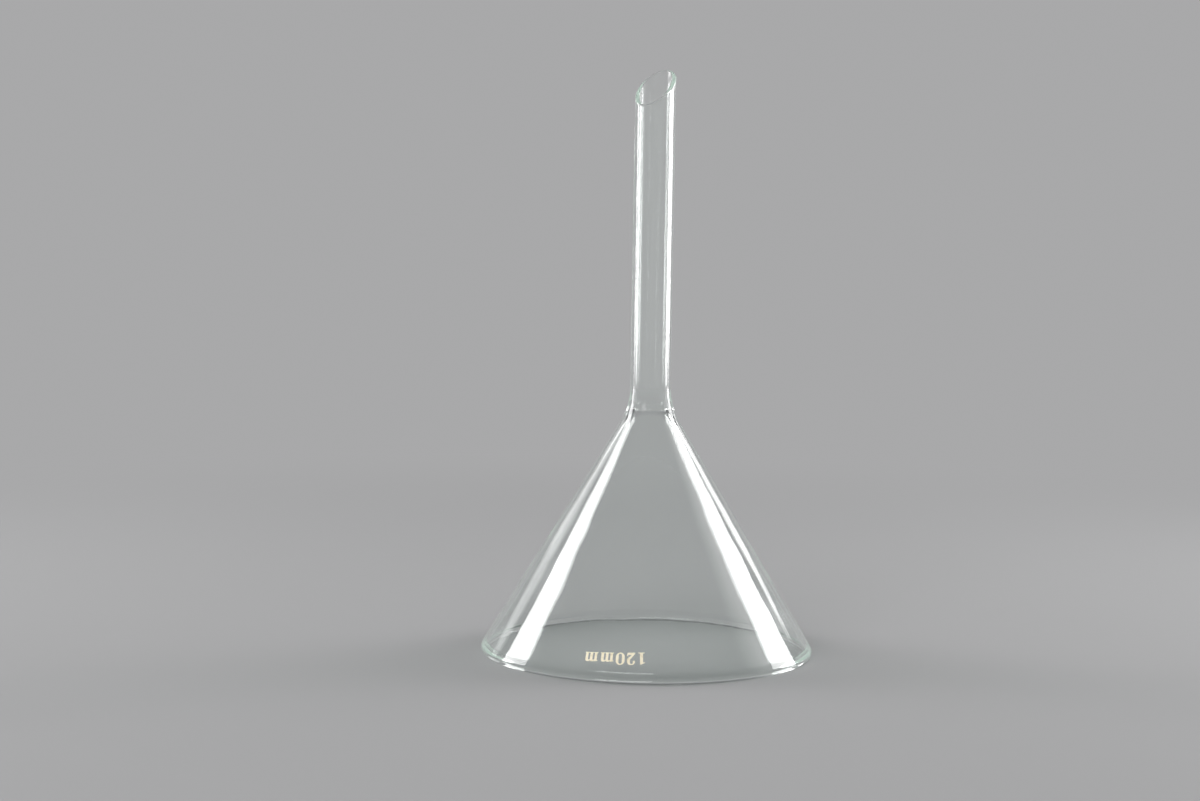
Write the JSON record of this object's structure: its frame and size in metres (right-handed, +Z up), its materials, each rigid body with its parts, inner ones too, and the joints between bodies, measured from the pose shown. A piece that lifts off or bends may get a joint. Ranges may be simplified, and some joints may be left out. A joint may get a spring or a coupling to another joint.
{
  "type": "glass filter funnel",
  "caption": "Clear glass conical filter funnel with a rounded rim and a straight stem cut off at a slant, stood rim down.",
  "frame": {"origin": "centre of the ring where the rim touches the bench", "axes": "+Z up the stem, away from the rim; -Y is the side of the stem tip's low lip"},
  "size_m": [0.12, 0.12, 0.21],
  "materials": {
    "clear_glass": "clear, fire polished",
    "size_enamel": "fired cream enamel"
  },
  "bodies": {
    "root": {"funnel": "clear_glass"}
  },
  "joints": []
}
